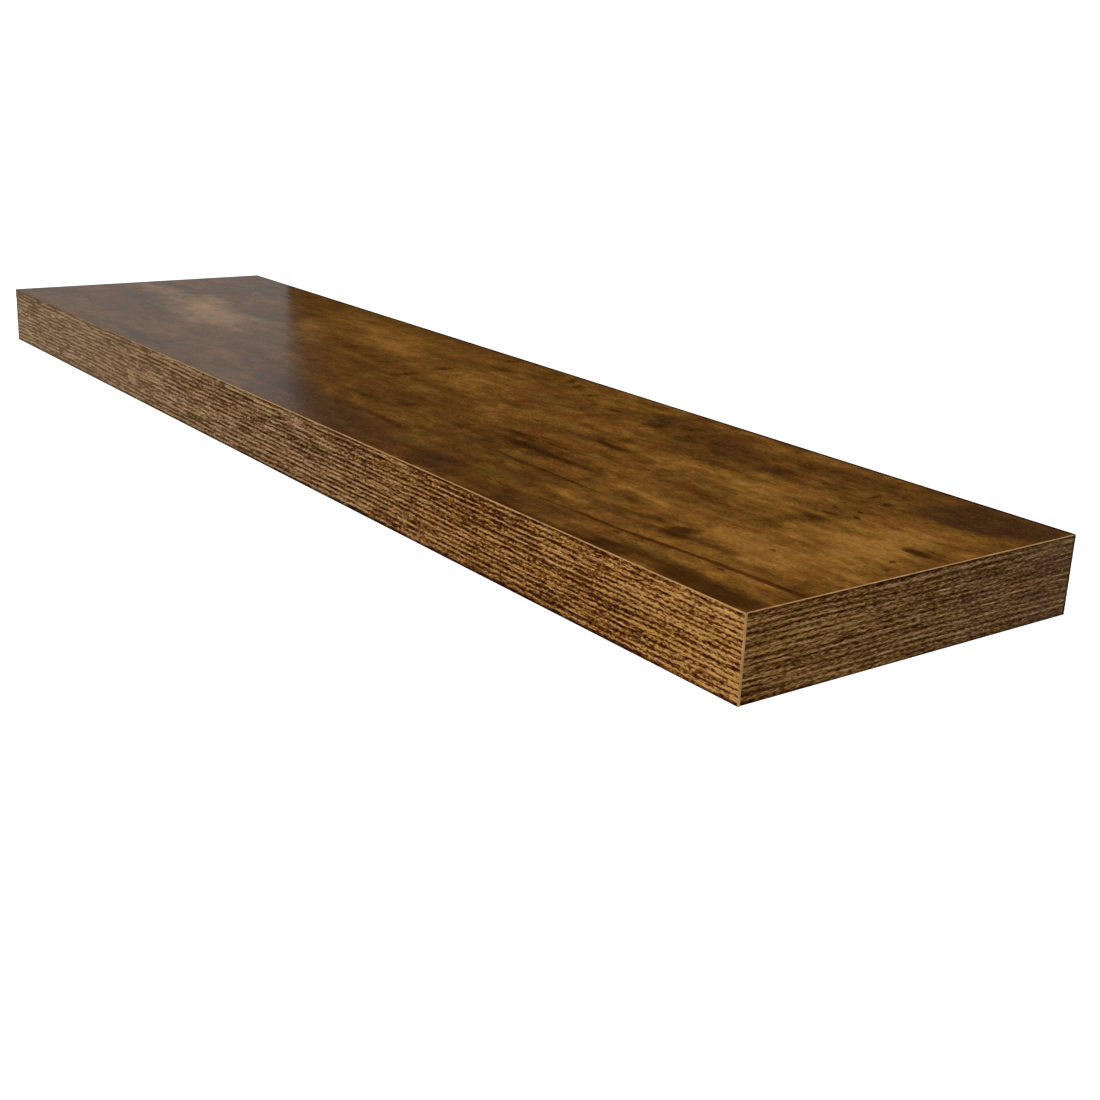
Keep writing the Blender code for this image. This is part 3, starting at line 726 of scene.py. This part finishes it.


# the print on the ridges: light crests, brown flanks and dark grooves, with pores and pale fibres in it; the
# dark in the grooves is print and painted shade, and the light crests are print and painted highlight
def edgingPrint(name):
    look = edging
    ink = edgingPrints[name]
    material, tree, shader = newFinish(name, IOR=look["refraction"], Specular_IOR_Level=look["shine"])
    place = objectPlace(tree)
    reach = addNode(tree, "SeparateXYZ", {0: place}).outputs[ink["grainAxis"]]
    # pressed holds the press depth and the painted shade at the lower edge and the left end
    pressed = addNode(tree, "Attribute", attribute_name="pressed").outputs["Fac"]

    def alongGrain(length, width, detail, roughness, shift=(0.0, 0.0, 0.0)):
        size = [width * mm] * 3
        size[ink["grainAxis"]] = length * mm
        return streaks(tree, place, size, detail, roughness, shift)

    fibres = alongGrain(*look["fibres"])
    tone = swing(tree, fibres, look["fibreSwing"], pressed)
    tone = swing(tree, alongGrain(*ink["grit"]), look["gritSwing"], tone)
    tone = swing(tree, alongGrain(*look["clouds"]), look["cloudSwing"], tone)
    tone = swing(tree, tone, ink["contrast"], 0.5)
    # painted warm light: the print is lighter towards the near corner
    tone = calc(tree, "MULTIPLY_ADD", fade(tree, reach, *ink["paintedLightFades"]), -ink["paintedLight"], tone)
    near = colourRamp(tree, tone, list(zip(look["toneSteps"], ink["nearTones"])))
    far = colourRamp(tree, tone, list(zip(look["toneSteps"], ink["farTones"])))
    # the near and far tones: more warm painted light at the near end than at the far end
    colour = mixColour(tree, fade(tree, reach, *ink["turnsFar"]), near, far)
    colour = tinted(tree, colour, alongGrain(*look["pores"]), look["poreInk"])
    # pale fibres shown only on the crests: print and painted highlight
    pale = fade(tree, alongGrain(*look["paleFibres"]), *look["paleFades"])
    showing = calc(tree, "MULTIPLY", pale, fade(tree, pressed, *look["paleOnCrests"]))
    colour = lay(tree, colour, showing, look["paleStrength"], look["paleInkAndHighlight"])
    colour = tinted(tree, colour, alongGrain(*look["redder"]), look["redTint"], "MULTIPLY")
    yellowed = fade(tree, alongGrain(*look["greener"]), *look["oliveFades"])
    colour = mixColour(tree, yellowed, colour, look["oliveTint"], "MULTIPLY")
    # painted sheen: a pale wash over the print, on the front strip towards its far end, on the end strips
    # towards the rear
    colour = tinted(tree, colour, reach, ink["paintedSheen"])
    # painted shade along the rear end of the end strips
    if "rearRimShade" in ink:
        colour = tinted(tree, colour, reach, ink["rearRimShade"])
    rough = calc(tree, "MULTIPLY_ADD", pressed, look["grooveRoughness"], look["roughness"])
    feed(tree, shader, Base_Color=colour, Roughness=rough, Normal=bump(tree, fibres, look["fibreDepth"]))
    return material


# Bare edging where it is trimmed, duller towards the far end
bareEdging = {
    "sockets": {"Roughness": 0.5, "IOR": 1.48},
    "mottle": ((6 * mm, 6 * mm, 6 * mm), 4.0, 0.6),
    "relief": ((0.4 * mm, 0.4 * mm, 0.4 * mm), 3.0, 0.6),
    "tones": [(0.3, paint(166, 122, 72)), (0.55, paint(190, 145, 92)), (0.75, paint(208, 166, 114))],
    "dulls": (paint(104, 76, 50), -60 * mm, -300 * mm, 0.9),
    "depth": 0.03 * mm,
}

# and the dark brown on its lower rim, at a strip's start and inside: painted shade
shadedEdging = {
    "sockets": {"Roughness": 0.5, "IOR": 1.48},
    "mottle": ((3 * mm, 3 * mm, 0.6 * mm), 4.0, 0.6),
    "tones": [(0.35, paint(40, 20, 7)), (0.5, paint(62, 36, 15)), (0.7, paint(92, 60, 30))],
    "depth": 0.02 * mm,
}


def frontPlace(along, inward, up):
    return np.column_stack((along - edging["shelfLength"] / 2, inward - edging["shelfDepth"], up))


def rightPlace(along, inward, up):
    behind = edging["behindFront"] - edging["shelfDepth"]
    return np.column_stack((edging["shelfLength"] / 2 - inward, along + behind, up))


def leftPlace(along, inward, up):
    behind = edging["behindFront"] - edging["shelfDepth"]
    return np.column_stack((inward - edging["shelfLength"] / 2, along + behind, up))


# the edging's other faces: the bare core, the dark brown of the painted shade, and the board's decor
trimmings = [
    mottledFinish("edgingCore", bareEdging), mottledFinish("edgingShade", shadedEdging), boardDecor,
]
frontFinishes = [edgingPrint("frontEdgingPrint")] + trimmings
endFinishes = [edgingPrint("endEdgingPrint")] + trimmings
endLength = edging["shelfDepth"] - edging["behindFront"] - edging["wallGap"]
frontStrip = edgingStrip(
    "frontEdging", length=edging["shelfLength"], columns=edging["frontColumns"], trimmedEnds=True,
    calm=0.0, bites=edging["frontBites"], seed=11, finishes=frontFinishes, toShelf=frontPlace
)
fit(frontStrip, "shelf_board", "decor_edging", "front_edge_band")
for name, node, seed, place in (
    ("rightEdging", "right_edge_band", 31, rightPlace), ("leftEdging", "left_edge_band", 47, leftPlace)
):
    strip = edgingStrip(
        name, length=endLength, columns=edging["endColumns"], trimmedEnds=False,
        calm=1.0, bites=edging["endBites"], seed=seed, finishes=endFinishes, toShelf=place
    )
    fit(strip, "shelf_board", "decor_edging", node)
print("edging pressed and trimmed")


# The frame inside: chipboard rails and blocks
chipboard = {
    "chipSizes": ((7 * mm, 5 * mm, 2.2 * mm), (2.4 * mm, 2.0 * mm, 0.9 * mm)),
    "chipShares": (0.55, 0.45),
    "tones": [
        (0.0, paint(150, 108, 66)),
        (0.35, paint(188, 146, 98)),
        (0.7, paint(208, 170, 122)),
        (1.0, paint(226, 196, 152)),
    ],
    "bark": paint(78, 50, 28),
    "barkFades": (0.9, 0.96),
    "waves": (3 * mm, 3 * mm, 1.5 * mm),
    "push": (1.5 * mm, 1.0 * mm),
    "roughness": 0.88,
    "depth": 0.25 * mm,
}


def chipboardFinish():
    look = chipboard
    material, tree, shader = newFinish("chipboardCore", Roughness=look["roughness"])
    place = ragged(tree, objectPlace(tree), look["waves"], look["push"])
    tones = []
    edges = []
    for size in look["chipSizes"]:
        chips = addNode(tree, "TexVoronoi", {"Vector": inMarks(tree, place, size), "Scale": 1.0})
        tones.append(addNode(tree, "SeparateColor", {0: chips.outputs["Color"]}).outputs[0])
        edges.append(chips.outputs["Distance"])
    coarse, fine = look["chipShares"]
    tone = calc(tree, "MULTIPLY_ADD", tones[0], coarse, calc(tree, "MULTIPLY", tones[1], fine))
    colour = colourRamp(tree, tone, look["tones"])
    colour = mixColour(tree, fade(tree, tones[1], *look["barkFades"]), colour, look["bark"])
    height = calc(tree, "ADD", edges[0], edges[1])
    feed(tree, shader, Base_Color=colour, Normal=bump(tree, height, look["depth"]))
    return material


# The filling: stretched honeycomb of brown paper
honeycombPaper = {
    "sockets": {"Roughness": 0.92},
    "mottle": ((9 * mm, 9 * mm, 9 * mm), 5.0, 0.65),
    "relief": ((0.5 * mm, 0.5 * mm, 2.5 * mm), 4.0, 0.7),
    "reliefShare": 0.5,
    "tones": [(0.3, paint(146, 108, 70)), (0.5, paint(178, 138, 94)), (0.72, paint(200, 164, 120))],
    "depth": 0.06 * mm,
}

chipFinish = chipboardFinish()
combFinish = mottledFinish("honeycombPaper", honeycombPaper)
for name in frame["nodes"]:
    if name.endswith(("_rail", "_rod_block")):
        dress(name, chipFinish)
    if name.endswith("_honeycomb"):
        dress(name, combFinish)
print("chipboard frame and paper honeycomb finished")


# The metal finishes: zinc plate, with its spangle and the lines of drawing, blacked steel and brass
zincPlate = {
    "spanglesPerMetre": 420.0,
    "spangleShare": 0.25,
    "patches": ((26 * mm, 10 * mm, 10 * mm), 4.0, 0.6),
    "drawn": ((40 * mm, 0.3 * mm, 0.3 * mm), 3.0, 0.6),
    "tones": [(0.35, paint(178, 181, 186)), (0.6, paint(206, 209, 212)), (0.9, paint(222, 223, 222))],
    "roughness": 0.2,
    "patchRoughness": 0.2,
    "drawnRoughness": 0.12,
    "depth": 0.02 * mm,
}

blackedSteel = {
    "sockets": {"Metallic": 1.0},
    "mottle": ((2 * mm, 2 * mm, 2 * mm), 4.0, 0.65),
    "tones": [(0.3, paint(34, 34, 38)), (0.55, paint(52, 52, 56)), (0.75, paint(78, 76, 76))],
    "roughness": (0.3, 0.22),
    "depth": 0.02 * mm,
}

turnedBrass = {
    "sockets": {"Metallic": 1.0},
    "mottle": ((4 * mm, 4 * mm, 4 * mm), 5.0, 0.65),
    "relief": ((30 * mm, 30 * mm, 0.12 * mm), 2.0, 0.5),
    "tones": [(0.3, paint(168, 128, 66)), (0.55, paint(206, 168, 92)), (0.75, paint(226, 194, 122))],
    "roughness": (0.25, 0.18),
    "depth": 0.02 * mm,
}


def zincFinish():
    look = zincPlate
    material, tree, shader = newFinish("zincPlate", Metallic=1.0)
    place = objectPlace(tree)
    spangle = addNode(tree, "TexVoronoi", {"Vector": place, "Scale": look["spanglesPerMetre"]})
    grey = addNode(tree, "SeparateColor", {0: spangle.outputs["Color"]}).outputs[0]
    patch = streaks(tree, place, *look["patches"])
    tone = calc(tree, "MULTIPLY_ADD", grey, look["spangleShare"], patch)
    drawn = streaks(tree, place, *look["drawn"])
    rough = calc(tree, "MULTIPLY_ADD", drawn, look["drawnRoughness"], look["roughness"])
    rough = calc(tree, "MULTIPLY_ADD", patch, look["patchRoughness"], rough)
    relief = bump(tree, drawn, look["depth"])
    feed(tree, shader, Base_Color=colourRamp(tree, tone, look["tones"]), Roughness=rough, Normal=relief)
    return material


zinc = zincFinish()
blacked = mottledFinish("blackedSteel", blackedSteel)
brass = mottledFinish("turnedBrass", turnedBrass)


# joins rings of points, each an array of rows, into a skin; the ends are closed, or joined to each other
def ringSkin(name, rings, finish, hollow=False):
    steps = len(rings[0])
    last = (len(rings) - 1) * steps
    corners = np.concatenate(rings).tolist()
    faces = []
    for low in range(0, last + steps if hollow else last, steps):
        high = (low + steps) % len(corners)
        for step in range(steps):
            following = (step + 1) % steps
            faces.append((low + step, low + following, high + following, high + step))
    if not hollow:
        for start in (0, last):
            corners.append(np.mean(corners[start:start + steps], axis=0).tolist())
            for step in range(steps):
                faces.append((start + step, start + (step + 1) % steps, len(corners) - 1))
    piece = newPiece(name, corners, faces, (finish,))
    piece.data.set_sharp_from_angle(angle=creaseAngle)
    return piece


# a ring about an axis; radius may be one number or one for each step
def ring(radius, level, steps):
    turns = np.arange(steps) * math.tau / steps
    radius = np.broadcast_to(radius, steps)
    return np.column_stack((radius * np.cos(turns), radius * np.sin(turns), np.full(steps, level)))


# The bracket: a zinc-plated strip with countersunk holes, and two rods riveted into it
bracket = {
    "halfLength": 350 * mm,
    "halfHeight": 12.5 * mm,
    "thickness": 4 * mm,
    "cornerRadius": 5 * mm,
    "cornerSegments": 14,
    "edgeRound": 0.4 * mm,
    "edgeSegments": 3,
    "screwHole": 2.75 * mm,
    "screwHead": 5.5 * mm,
    "outerHole": 320 * mm,
    "innerHole": 110 * mm,
    "slotTravel": 6 * mm,
    "drillOver": 2 * mm,
    "rodPlace": 220 * mm,
    "rodRadius": 6 * mm,
    "rodTip": 144 * mm,
    "rodChamfer": 0.25 * mm,
    "noseRound": 1.5 * mm,
    "noseFullness": 0.9,
    "noseSteps": (0.2, 0.4, 0.6, 0.8, 1.0),
    "spigotRadius": 4 * mm,
    "rivetHead": 5 * mm,
    "rivetDepth": 1 * mm,

    # the upset head from its middle out: shares of its radius, then steps in from its rim, with their depths
    "headMiddle": ((0.45, 0.16 * mm), (0.8, 0.05 * mm)),
    "headRim": ((0.15 * mm, 0.03 * mm), (0.03 * mm, 0.12 * mm)),
    "gap": 0.3 * mm,
    "steps": 96,
}


# turns a piece made about +Z so that it points out from the wall
def outFromWall(rings, x):
    return [np.column_stack((points[:, 0] + x, -points[:, 2], points[:, 1])) for points in rings]


def bracketStrip():
    look = bracket
    shape = bmesh.new()
    bmesh.ops.create_cube(shape, size=1)
    size = (2 * look["halfLength"], look["thickness"], 2 * look["halfHeight"])
    bmesh.ops.scale(shape, vec=size, verts=shape.verts)
    bmesh.ops.translate(shape, vec=(0, -look["thickness"] / 2, 0), verts=shape.verts)

    # rounds over the edges that run through the strip's thickness, or else those round its faces
    def roundOver(isThrough, radius, segments):
        edges = []
        for edge in shape.edges:
            depth = abs(edge.verts[0].co.y - edge.verts[1].co.y)
            if (depth > look["edgeRound"]) == isThrough:
                edges.append(edge)
        bmesh.ops.bevel(shape, geom=edges, offset=radius, segments=segments, profile=0.5, affect="EDGES")

    roundOver(True, look["cornerRadius"], look["cornerSegments"])
    roundOver(False, look["edgeRound"], look["edgeSegments"])
    bmesh.ops.recalc_face_normals(shape, faces=shape.faces)
    mesh = bpy.data.meshes.new("bracketStrip")
    shape.to_mesh(mesh)
    shape.free()
    mesh.materials.append(zinc)
    strip = bpy.data.objects.new("bracketStrip", mesh)
    bpy.context.scene.collection.objects.link(strip)
    cutters = [stripHole(side * look["outerHole"], look["slotTravel"]) for side in (-1, 1)]
    cutters += [stripHole(side * look["innerHole"], 0.0) for side in (-1, 1)]
    cutters += [rivetHole(side * look["rodPlace"]) for side in (-1, 1)]
    for cutter in cutters:
        drill = strip.modifiers.new("drill", "BOOLEAN")
        drill.operation = "DIFFERENCE"
        drill.solver = "EXACT"
        drill.object = cutter
    bpy.context.view_layer.update()
    drilled = strip.evaluated_get(bpy.context.evaluated_depsgraph_get())
    finished = bpy.data.meshes.new_from_object(drilled)
    strip.modifiers.clear()
    strip.data = finished
    for cutter in cutters:
        bpy.data.objects.remove(cutter)
    for face in finished.polygons:
        face.use_smooth = abs(face.normal.y) < 0.99  # the front and the back stay flat
    finished.set_sharp_from_angle(angle=creaseAngle)
    return strip


# a countersunk screw hole, drawn out sideways by its travel
def stripHole(x, travel):
    look = bracket
    over = look["drillOver"]
    sink = look["screwHead"] - look["screwHole"]
    rings = [
        ring(look["screwHole"], -over, look["steps"]),
        ring(look["screwHole"], look["thickness"] - sink, look["steps"]),
        ring(look["screwHead"] + over, look["thickness"] + over, look["steps"]),
    ]
    for points in rings:
        points[:, 0] += np.where(points[:, 0] > 0, travel / 2, -travel / 2)
    return ringSkin("drill", outFromWall(rings, x), zinc)


def rivetHole(x):
    look = bracket
    over = look["drillOver"]
    hole = look["spigotRadius"] + look["gap"]
    widening = look["rivetHead"] - look["spigotRadius"]
    rings = [
        ring(hole + widening + over, -over, look["steps"]),
        ring(hole, look["rivetDepth"], look["steps"]),
        ring(hole, look["thickness"] + over, look["steps"]),
    ]
    return ringSkin("drill", outFromWall(rings, x), zinc)


# the rod, its nose rounded over, and behind its shoulder the spigot with its upset rivet head
def bracketRod(name, x):
    look = bracket
    head = look["rivetHead"]
    spigot = look["spigotRadius"]
    rod = look["rodRadius"]
    chamfer = look["rodChamfer"]
    shoulder = look["thickness"] + look["gap"]
    noseStart = look["rodTip"] - look["noseRound"]
    profile = [(head * share, depth) for share, depth in look["headMiddle"]]
    profile += [(head - inset, depth) for inset, depth in look["headRim"]]
    profile += [(spigot, look["rivetDepth"]), (spigot, shoulder)]
    profile += [(rod - chamfer, shoulder), (rod, shoulder + chamfer), (rod, noseStart)]
    for share in look["noseSteps"]:
        bend = share * math.pi / 2
        drop = look["noseRound"] * (1 - math.cos(bend)) * look["noseFullness"]
        profile.append((rod - drop, noseStart + look["noseRound"] * math.sin(bend)))
    rings = [ring(radius, level, look["steps"]) for radius, level in profile]
    return ringSkin(name, outFromWall(rings, x), zinc)


fit(bracketStrip(), "wall_bracket", "zinc_plated_steel", "wall_strip")
fit(bracketRod("leftRod", -bracket["rodPlace"]), "wall_bracket", "zinc_plated_steel", "left_support_rod")
fit(bracketRod("rightRod", bracket["rodPlace"]), "wall_bracket", "zinc_plated_steel", "right_support_rod")
print("bracket drilled and riveted")


# The locks: a grub screw in a barbed brass insert, both reached from the underside
locks = {
    "fromWall": 24.5 * mm,
    "underside": -19 * mm,
    "threadPitch": 1 * mm,
    "threadDepth": 0.45 * mm,
    "steps": 48,

    "screwRadius": 3 * mm,
    "screwFoot": -18.3 * mm,
    "screwTop": -6.3 * mm,
    "screwChamfer": 0.8 * mm,
    "screwRows": 116,
    "screwRunOut": 0.8 * mm,

    # the cup point: radius and depth of its bottom, then how far its wall is in from the chamfer
    "cupRadius": 0.5 * mm,
    "cupDepth": 0.75 * mm,
    "cupWall": 0.5 * mm,
    "cupLip": 0.3 * mm,
    "cupLipDepth": 0.1 * mm,

    # the hexagon socket: across its flats, its chamfer, and the cone that the drill left at its bottom
    "keyWidth": 3 * mm,
    "socketDepth": 4.5 * mm,
    "socketChamfer": 0.15 * mm,
    "socketCone": 0.5 * mm,
    "conePoint": 0.4 * mm,

    "insertRadius": 5 * mm,
    "insertTop": -7 * mm,
    "insertChamfer": 0.15 * mm,
    "flangeRadius": 6.75 * mm,
    "flangeThickness": 1 * mm,
    "flangeFoot": 0.2 * mm,
    "flangeEdge": 0.1 * mm,
    "barbs": 4,
    "barbHeight": 0.5 * mm,
    "barbCrest": 0.05 * mm,
    "barbFall": 0.42,
    "boreRadius": 3.3 * mm,
    "boreChamfer": 0.3 * mm,
    "boreRows": 110,
    "boreRunOut": 0.6 * mm,
    "mouth": 0.5 * mm,
}


# a V thread: how far each step of a ring at this level is below the crest, 0 to 1
def threadShare(level, steps):
    climb = level / locks["threadPitch"] - np.arange(steps) / steps
    climb = climb - np.floor(climb)
    return np.abs(2 * climb - 1)


# a thread from its start down to its end, running out at both; bite is how deep it cuts, below 0 inwards
def threadRings(radius, start, end, rows, runOut, bite):
    steps = locks["steps"]
    rings = []
    for row in range(rows + 1):
        level = start + (end - start) * row / rows
        run = min(1.0, (start - level) / runOut, (level - end) / runOut)
        rings.append(ring(radius + bite * run * threadShare(level, steps), level, steps))
    return rings


# moves a lock's rings to where it sits, this far along the board
def inBoard(rings, x):
    return [points + np.array((x, -locks["fromWall"], 0.0)) for points in rings]


def grubScrew(name, x):
    look = locks
    steps = look["steps"]
    top = look["screwTop"]
    foot = look["screwFoot"]
    chamfer = look["screwChamfer"]
    chamfered = look["screwRadius"] - chamfer
    bevel = look["socketChamfer"]
    hexTurn = (np.arange(steps) * math.tau / steps) % (math.pi / 3) - math.pi / 6  # from each flat's middle
    hexagon = look["keyWidth"] / 2 / np.cos(hexTurn)
    floor = foot + look["socketDepth"]
    rings = [
        ring(look["cupRadius"], top - look["cupDepth"], steps),
        ring(chamfered - look["cupWall"], top - look["cupLipDepth"], steps),
        ring(chamfered - look["cupLip"], top, steps),
        ring(chamfered, top, steps),
    ]
    rings += threadRings(
        look["screwRadius"], top - chamfer, foot + chamfer, look["screwRows"], look["screwRunOut"],
        -look["threadDepth"]
    )
    rings += [
        ring(chamfered, foot, steps),
        ring(hexagon + bevel, foot, steps),
        ring(hexagon, foot + bevel, steps),
        ring(hexagon, floor - look["socketCone"], steps),
        ring(look["conePoint"], floor, steps),
    ]
    return ringSkin(name, inBoard(rings, x), blacked)


def threadedInsert(name, x):
    look = locks
    steps = look["steps"]
    underside = look["underside"]
    top = look["insertTop"]
    flange = look["flangeRadius"]
    bore = look["boreRadius"]
    foot = look["flangeFoot"]
    edge = look["flangeEdge"]
    root = look["insertRadius"] - look["barbHeight"]
    chamfer = look["insertChamfer"]
    collar = underside + look["flangeThickness"]
    barbPitch = (top - collar) / look["barbs"]
    profile = [(flange - foot, underside), (flange, underside + foot)]
    profile += [(flange, collar - edge), (flange - edge, collar)]
    for barb in range(look["barbs"]):
        level = collar + barb * barbPitch
        profile += [(root, level), (look["insertRadius"], level + barbPitch / 3)]
        profile.append((look["insertRadius"] - look["barbCrest"], level + barbPitch * look["barbFall"]))
    profile += [(root, top - chamfer), (root - chamfer, top), (bore + look["boreChamfer"], top)]
    rings = [ring(radius, level, steps) for radius, level in profile]
    rings += threadRings(
        bore, top - look["boreChamfer"], underside + look["mouth"], look["boreRows"], look["boreRunOut"],
        look["threadDepth"]
    )
    rings.append(ring(bore + look["mouth"], underside, steps))
    return ringSkin(name, inBoard(rings, x), brass, hollow=True)


for sideName, side in (("left", -1), ("right", 1)):
    x = side * bracket["rodPlace"]
    fit(grubScrew(sideName + "GrubScrew", x), sideName + "_lock", "black_steel", sideName + "_lock_screw")
    insert = threadedInsert(sideName + "ThreadedInsert", x)
    fit(insert, "shelf_board", "insert_brass", sideName + "_insert_nut")
print("lock screws and inserts threaded")


# The studio: white all round, a pale floor far below, and panels that only show in the gloss
studio = {
    "backdropWhite": 1.05,
    "roomLight": 0.72,
    "floorLevel": -1.6,
    "floorSize": 30.0,
    "floorPale": 0.9,
    "floorMottle": 0.02,
    "floorClouds": ((0.4, 0.4, 0.4), 2.0, 0.5),
    "floorLift": 0.6,
    "softbox": {
        "place": (0.3, -1.4, 1.5), "aim": (0.0, -0.1, 0.0), "size": (1.3, 1.0), "lean": 0,
        "radiance": (1.0, 0.98, 0.95), "level": 3.5,
    },
}

# each gloss panel: its middle, what it faces, its size, its lean in degrees and what it shines with
glossPanels = {
    "windowVeil": {
        "place": (-0.41, -0.107, 0.191), "aim": (1.0, -0.107, 0.191), "size": (0.3, 0.5), "lean": 4,
        "radiance": (0.22, 0.27, 0.3),
    },
    "paleWall": {
        "place": (-0.78, -0.28, -0.22), "aim": (-0.3, -0.22, -0.1), "size": (0.3, 0.4), "lean": 0,
        "radiance": (0.8, 0.78, 0.6),
    },
}

# and these only show in the bare metal
metalPanels = {
    "behindBracket": {
        "place": (0.4, 1.6, 0.2), "aim": (0.4, 0.0, 0.2), "size": (5.0, 3.6), "lean": 0,
        "radiance": (0.6, 0.62, 0.65),
    },
    "underShelf": {
        "place": (0.0, -0.3, -1.5), "aim": (0.0, -0.3, 0.0), "size": (6.0, 6.0), "lean": 0,
        "radiance": (0.5, 0.5, 0.5),
    },
    "overShelf": {
        "place": (0.0, -0.6, 2.2), "aim": (0.0, -0.3, 0.0), "size": (3.0, 2.4), "lean": 0,
        "radiance": (0.85, 0.86, 0.88),
    },
}


# a soft panel; its radiance is that of its surface
def panelLight(name, look, level=1.0):
    lamp = bpy.data.lights.new(name, "AREA")
    lamp.shape = "RECTANGLE"
    lamp.size, lamp.size_y = look["size"]
    lamp.color = look["radiance"]
    lamp.energy = level * math.pi * look["size"][0] * look["size"][1]
    panel = bpy.data.objects.new(name, lamp)
    panel.location = look["place"]
    facing = (Vector(look["aim"]) - Vector(look["place"])).to_track_quat("-Z", "Y")
    panel.rotation_euler = (facing @ Quaternion((0, 0, 1), math.radians(look["lean"]))).to_euler()
    panel.visible_camera = False
    bpy.context.scene.collection.objects.link(panel)
    return panel


# the room is a little brighter to the camera than it is as a light, and it isn't seen in the gloss
def whiteRoom():
    world = bpy.data.worlds.new("whiteRoom")
    world.use_nodes = True
    tree = world.node_tree
    background = tree.nodes["Background"]
    background.inputs["Color"].default_value = white
    seen = addNode(tree, "LightPath").outputs["Is Camera Ray"]
    extra = studio["backdropWhite"] - studio["roomLight"]
    brightness = calc(tree, "MULTIPLY_ADD", seen, extra, studio["roomLight"])
    tree.links.new(brightness, background.inputs["Strength"])
    world.cycles_visibility.glossy = False
    bpy.context.scene.world = world


def paleFloor():
    look = studio
    finish, tree, shader = newFinish(
        "paleFloor", Roughness=0.9, Specular_IOR_Level=0.0, Emission_Color=white,
        Emission_Strength=look["floorLift"]
    )
    clouds = streaks(tree, objectPlace(tree), *look["floorClouds"])
    tones = [(place, (pale, pale, pale, 1.0)) for place, pale in (
        (0.3, look["floorPale"]), (0.7, look["floorPale"] + look["floorMottle"])
    )]
    feed(tree, shader, Base_Color=colourRamp(tree, clouds, tones))
    half = look["floorSize"] / 2
    level = look["floorLevel"]
    corners = [(-half, -half, level), (half, -half, level), (half, half, level), (-half, half, level)]
    floor = newPiece("floor", corners, [(0, 1, 2, 3)], (finish,), smooth=False)
    if floor.data.polygons[0].normal.z < 0:
        floor.data.flip_normals()
    floor.visible_glossy = False
    floor.visible_diffuse = False


def hangLights():
    softbox = panelLight("softbox", studio["softbox"], studio["softbox"]["level"])
    softbox.visible_glossy = False
    metalPieces = bpy.data.collections.new("metalPieces")
    for piece in bpy.context.scene.objects:
        if piece.get("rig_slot") in ("zinc_plated_steel", "black_steel", "insert_brass"):
            metalPieces.objects.link(piece)
    for name, look in (glossPanels | metalPanels).items():
        shine = panelLight(name, look)
        shine.visible_diffuse = False
        shine.visible_transmission = False
        if name in metalPanels:
            shine.light_linking.receiver_collection = metalPieces


whiteRoom()
paleFloor()
hangLights()


# The camera, worked out from the corners of the board in the photograph
productCamera = {
    "place": (0.79572, -0.59223, 0.22072),
    "turn": (71.88085, -2.44526, 53.61371),
    "lens": 51.959,
    "sensor": 36.0,
    "nearest": 0.01,
    "farthest": 100.0,
}


def placeCamera():
    look = productCamera
    lens = bpy.data.cameras.new("productCamera")
    lens.lens = look["lens"]
    lens.sensor_width = look["sensor"]
    lens.clip_start = look["nearest"]
    lens.clip_end = look["farthest"]
    camera = bpy.data.objects.new("productCamera", lens)
    camera.location = look["place"]
    camera.rotation_euler = tuple(math.radians(angle) for angle in look["turn"])
    bpy.context.scene.collection.objects.link(camera)
    bpy.context.scene.camera = camera
    bpy.context.scene.view_settings.view_transform = "Standard"
    bpy.context.scene.view_settings.look = "None"


placeCamera()
print("studio and camera set")
